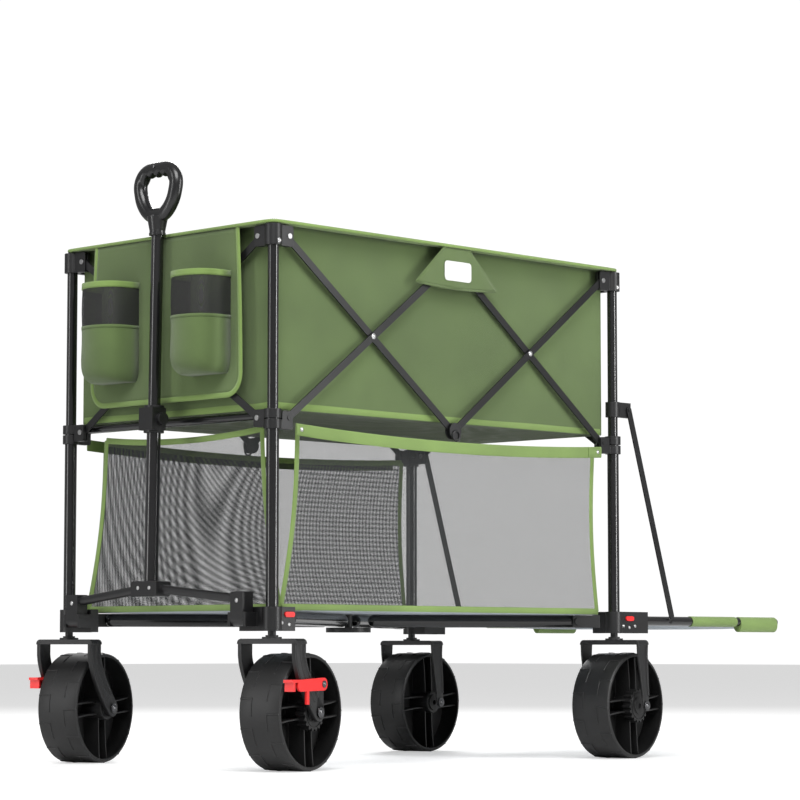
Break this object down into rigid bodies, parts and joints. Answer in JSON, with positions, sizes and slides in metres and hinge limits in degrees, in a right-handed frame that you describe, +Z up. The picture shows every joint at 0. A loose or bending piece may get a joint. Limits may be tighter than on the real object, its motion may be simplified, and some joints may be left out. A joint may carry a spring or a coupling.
{
  "type": "folding beach cart",
  "caption": "Double-decker folding beach cart with a fabric basket over a mesh deck, swivel casters, a pull handle and a drop-down tailgate.",
  "frame": {"origin": "middle of the cart's whole box, on the floor", "axes": "+X from the pull handle towards the tailgate, +Z up, +Y to the cart's right-hand side when pulled"},
  "size_m": [1.5628, 0.6984, 1.0699],
  "materials": {
    "post_paint": "gloss black powder coat",
    "bracket_plastic": "black moulded plastic",
    "rivet_steel": "plated steel",
    "bar_paint": "satin black paint",
    "tube_paint": "gloss black paint",
    "fork_paint": "black glass-filled plastic or painted steel",
    "wheel_plastic": "black moulded plastic",
    "red_plastic": "red moulded plastic",
    "handle_paint": "gloss black paint",
    "grip_plastic": "black moulded plastic",
    "green_fabric": "olive green woven polyester",
    "webbing": "light green webbing",
    "mesh_fabric": "dark see-through mesh",
    "mat_fabric": "grey-blue woven polyester"
  },
  "bodies": {
    "front_frame": {"post_front_left": "post_paint", "post_front_right": "post_paint", "top_brackets_front": "bracket_plastic", "mid_brackets_front": "bracket_plastic", "base_brackets_front": "bracket_plastic", "rivets_front": "rivet_steel", "end_bars_front": "bar_paint", "front_rail": "tube_paint", "upper_basket": "green_fabric", "pocket_panel": "green_fabric", "side_straps": "webbing", "lower_mesh": "mesh_fabric", "deck_mat": "mat_fabric"},
    "rear_frame": {"post_rear_left": "post_paint", "post_rear_right": "post_paint", "top_brackets_rear": "bracket_plastic", "mid_brackets_rear": "bracket_plastic", "base_brackets_rear": "bracket_plastic", "rivets_rear": "rivet_steel", "end_bars_rear": "bar_paint"},
    "side_sliders_front": {"side_sliders_front": "bracket_plastic"},
    "low_bars_front": {"low_bars_front": "bar_paint"},
    "top_bars_front": {"top_bars_front": "bar_paint"},
    "side_sliders_rear": {"side_sliders_rear": "bracket_plastic"},
    "low_bars_rear": {"low_bars_rear": "bar_paint"},
    "top_bars_rear": {"top_bars_rear": "bar_paint"},
    "top_hubs": {"top_hubs": "bracket_plastic"},
    "bottom_hubs": {"bottom_hubs": "bracket_plastic"},
    "floor_hub": {"floor_hub": "bracket_plastic"},
    "floor_rail_front_left": {"floor_rail_front_left": "tube_paint"},
    "release_button_front_left": {"release_button_front_left": "red_plastic"},
    "caster_front_left": {"caster_fork_front_left": "fork_paint"},
    "wheel_front_left": {"wheel_front_left": "wheel_plastic"},
    "floor_rail_front_right": {"floor_rail_front_right": "tube_paint"},
    "release_button_front_right": {"release_button_front_right": "red_plastic"},
    "caster_front_right": {"caster_fork_front_right": "fork_paint"},
    "wheel_front_right": {"wheel_front_right": "wheel_plastic"},
    "floor_rail_rear_left": {"floor_rail_rear_left": "tube_paint"},
    "release_button_rear_left": {"release_button_rear_left": "red_plastic"},
    "caster_rear_left": {"caster_fork_rear_left": "fork_paint"},
    "wheel_rear_left": {"wheel_rear_left": "wheel_plastic"},
    "floor_rail_rear_right": {"floor_rail_rear_right": "tube_paint"},
    "release_button_rear_right": {"release_button_rear_right": "red_plastic"},
    "caster_rear_right": {"caster_fork_rear_right": "fork_paint"},
    "wheel_rear_right": {"wheel_rear_right": "wheel_plastic"},
    "brake_pedal_front_left": {"brake_pedal_front_left": "red_plastic"},
    "brake_pedal_front_right": {"brake_pedal_front_right": "red_plastic"},
    "handle_yoke": {"handle_yoke": "bracket_plastic", "handle_lower_tube": "handle_paint", "handle_collar": "bracket_plastic"},
    "handle_upper": {"handle_upper_tube": "handle_paint", "handle_grip": "grip_plastic"},
    "tailgate": {"tailgate_frame": "tube_paint", "tailgate_panel": "green_fabric"},
    "strut_collars": {"strut_collars": "bracket_plastic"},
    "tailgate_struts": {"tailgate_struts": "bar_paint"}
  },
  "joints": [
    {"name": "cart_fold", "type": "slide", "parent": "front_frame", "child": "rear_frame", "axis": [-1, 0, 0], "range_m": [0, 0.625], "deforming": ["upper_basket", "side_straps", "lower_mesh", "deck_mat"]},
    {"name": "slider_drop_front", "type": "slide", "parent": "front_frame", "child": "side_sliders_front", "axis": [0, 0, -1], "range_m": [0, 0.19743]},
    {"name": "slider_drop_rear", "type": "slide", "parent": "rear_frame", "child": "side_sliders_rear", "axis": [0, 0, -1], "range_m": [0, 0.19743]},
    {"name": "low_bars_front_turn", "type": "hinge", "parent": "side_sliders_front", "child": "low_bars_front", "pos_m": [-0.66495, -0.00896, 0.602], "axis": [0, -1, 0], "range_deg": [0, 41.47]},
    {"name": "top_bars_front_turn", "type": "hinge", "parent": "front_frame", "child": "top_bars_front", "pos_m": [-0.66495, -0.00896, 0.916], "axis": [0, 1, 0], "range_deg": [0, 41.47]},
    {"name": "low_bars_rear_turn", "type": "hinge", "parent": "side_sliders_rear", "child": "low_bars_rear", "pos_m": [0.16905, -0.00896, 0.602], "axis": [0, 1, 0], "range_deg": [0, 41.47]},
    {"name": "top_bars_rear_turn", "type": "hinge", "parent": "rear_frame", "child": "top_bars_rear", "pos_m": [0.16905, -0.00896, 0.916], "axis": [0, -1, 0], "range_deg": [0, 41.47]},
    {"name": "top_hub_shift", "type": "slide", "parent": "front_frame", "child": "top_hubs", "axis": [-1, 0, 0], "range_m": [0, 0.3125]},
    {"name": "bottom_hub_shift", "type": "slide", "parent": "front_frame", "child": "bottom_hubs", "axis": [-0.8454, 0, -0.5341], "range_m": [0, 0.36964]},
    {"name": "floor_hub_rise", "type": "slide", "parent": "front_frame", "child": "floor_hub", "axis": [-0.6777, 0, 0.7354], "range_m": [0, 0.46114]},
    {"name": "floor_rail_turn_front_left", "type": "hinge", "parent": "front_frame", "child": "floor_rail_front_left", "pos_m": [-0.63107, -0.23883, 0.26], "axis": [0.5145, -0.8575, 0], "range_deg": [0, 88]},
    {"name": "caster_swivel_front_left", "type": "hinge", "parent": "front_frame", "child": "caster_front_left", "pos_m": [-0.69795, -0.27896, 0.225], "axis": [0, 0, 1], "continuous": true},
    {"name": "wheel_spin_front_left", "type": "hinge", "parent": "caster_front_left", "child": "wheel_front_left", "pos_m": [-0.63956, -0.26516, 0.1], "axis": [-0.23, 0.9732, 0], "continuous": true},
    {"name": "release_press_front_left", "type": "slide", "parent": "front_frame", "child": "release_button_front_left", "axis": [0, 1, 0], "range_m": [0, 0.0015], "stiffness_N_per_m": 600},
    {"name": "brake_pedal_press_front_left", "type": "hinge", "parent": "caster_front_left", "child": "brake_pedal_front_left", "pos_m": [-0.63567, -0.26424, 0.148], "axis": [0.23, -0.9732, 0], "range_deg": [0, 9]},
    {"name": "floor_rail_turn_front_right", "type": "hinge", "parent": "front_frame", "child": "floor_rail_front_right", "pos_m": [-0.63107, 0.2209, 0.26], "axis": [-0.5145, -0.8575, 0], "range_deg": [0, 88]},
    {"name": "caster_swivel_front_right", "type": "hinge", "parent": "front_frame", "child": "caster_front_right", "pos_m": [-0.69795, 0.26104, 0.225], "axis": [0, 0, 1], "continuous": true},
    {"name": "wheel_spin_front_right", "type": "hinge", "parent": "caster_front_right", "child": "wheel_front_right", "pos_m": [-0.64085, 0.27948, 0.1], "axis": [-0.3074, 0.9516, 0], "continuous": true},
    {"name": "release_press_front_right", "type": "slide", "parent": "front_frame", "child": "release_button_front_right", "axis": [0, -1, 0], "range_m": [0, 0.0015], "stiffness_N_per_m": 600},
    {"name": "brake_pedal_press_front_right", "type": "hinge", "parent": "caster_front_right", "child": "brake_pedal_front_right", "pos_m": [-0.63705, 0.28071, 0.148], "axis": [0.3074, -0.9516, 0], "range_deg": [0, 9]},
    {"name": "floor_rail_turn_rear_left", "type": "hinge", "parent": "rear_frame", "child": "floor_rail_rear_left", "pos_m": [0.13517, -0.23883, 0.26], "axis": [0.5145, 0.8575, 0], "range_deg": [0, 62]},
    {"name": "caster_swivel_rear_left", "type": "hinge", "parent": "rear_frame", "child": "caster_rear_left", "pos_m": [0.20205, -0.27896, 0.225], "axis": [0, 0, 1], "continuous": true},
    {"name": "wheel_spin_rear_left", "type": "hinge", "parent": "caster_rear_left", "child": "wheel_rear_left", "pos_m": [0.21395, -0.27744, 0.1], "axis": [-0.1271, 0.9919, 0], "continuous": true},
    {"name": "release_press_rear_left", "type": "slide", "parent": "rear_frame", "child": "release_button_rear_left", "axis": [0, 1, 0], "range_m": [0, 0.0015], "stiffness_N_per_m": 600},
    {"name": "floor_rail_turn_rear_right", "type": "hinge", "parent": "rear_frame", "child": "floor_rail_rear_right", "pos_m": [0.13517, 0.2209, 0.26], "axis": [-0.5145, 0.8575, 0], "range_deg": [0, 62]},
    {"name": "caster_swivel_rear_right", "type": "hinge", "parent": "rear_frame", "child": "caster_rear_right", "pos_m": [0.20205, 0.26104, 0.225], "axis": [0, 0, 1], "continuous": true},
    {"name": "wheel_spin_rear_right", "type": "hinge", "parent": "caster_rear_right", "child": "wheel_rear_right", "pos_m": [0.21395, 0.2626, 0.1], "axis": [-0.1305, 0.9914, 0], "continuous": true},
    {"name": "release_press_rear_right", "type": "slide", "parent": "rear_frame", "child": "release_button_rear_right", "axis": [0, -1, 0], "range_m": [0, 0.0015], "stiffness_N_per_m": 600},
    {"name": "handle_fold", "type": "hinge", "parent": "front_frame", "child": "handle_yoke", "pos_m": [-0.72195, -0.00896, 0.258], "axis": [0, -1, 0], "range_deg": [0, 95]},
    {"name": "handle_extend", "type": "slide", "parent": "handle_yoke", "child": "handle_upper", "axis": [0.0157, 0, 0.9999], "range_m": [-0.24, 0]},
    {"name": "tailgate_lift", "type": "hinge", "parent": "rear_frame", "child": "tailgate", "pos_m": [0.26605, -0.00896, 0.262], "axis": [0, -1, 0], "range_deg": [0, 90]},
    {"name": "collar_slide", "type": "slide", "parent": "rear_frame", "child": "strut_collars", "axis": [0, 0, 1], "range_m": [0, 0.10613]},
    {"name": "strut_turn", "type": "hinge", "parent": "strut_collars", "child": "tailgate_struts", "pos_m": [0.23705, -0.00896, 0.668], "axis": [0, 1, 0], "range_deg": [0, 15.03]}
  ],
  "couplings": [
    {"joint": "slider_drop_front", "follows": "cart_fold", "ratio": 0.31589},
    {"joint": "slider_drop_rear", "follows": "cart_fold", "ratio": 0.31589},
    {"joint": "low_bars_front_turn", "follows": "cart_fold", "rad_per_m": 1.1581},
    {"joint": "top_bars_front_turn", "follows": "cart_fold", "rad_per_m": 1.1581},
    {"joint": "low_bars_rear_turn", "follows": "cart_fold", "rad_per_m": 1.1581},
    {"joint": "top_bars_rear_turn", "follows": "cart_fold", "rad_per_m": 1.1581},
    {"joint": "top_hub_shift", "follows": "cart_fold", "ratio": 0.5},
    {"joint": "bottom_hub_shift", "follows": "cart_fold", "ratio": 0.59143},
    {"joint": "floor_hub_rise", "follows": "cart_fold", "ratio": 0.73783},
    {"joint": "floor_rail_turn_front_left", "follows": "cart_fold", "rad_per_m": 2.4574},
    {"joint": "floor_rail_turn_front_right", "follows": "cart_fold", "rad_per_m": 2.4574},
    {"joint": "floor_rail_turn_rear_left", "follows": "cart_fold", "rad_per_m": 1.7314},
    {"joint": "floor_rail_turn_rear_right", "follows": "cart_fold", "rad_per_m": 1.7314},
    {"joint": "collar_slide", "follows": "tailgate_lift", "m_per_rad": 0.067563},
    {"joint": "strut_turn", "follows": "tailgate_lift", "ratio": 0.167}
  ]
}
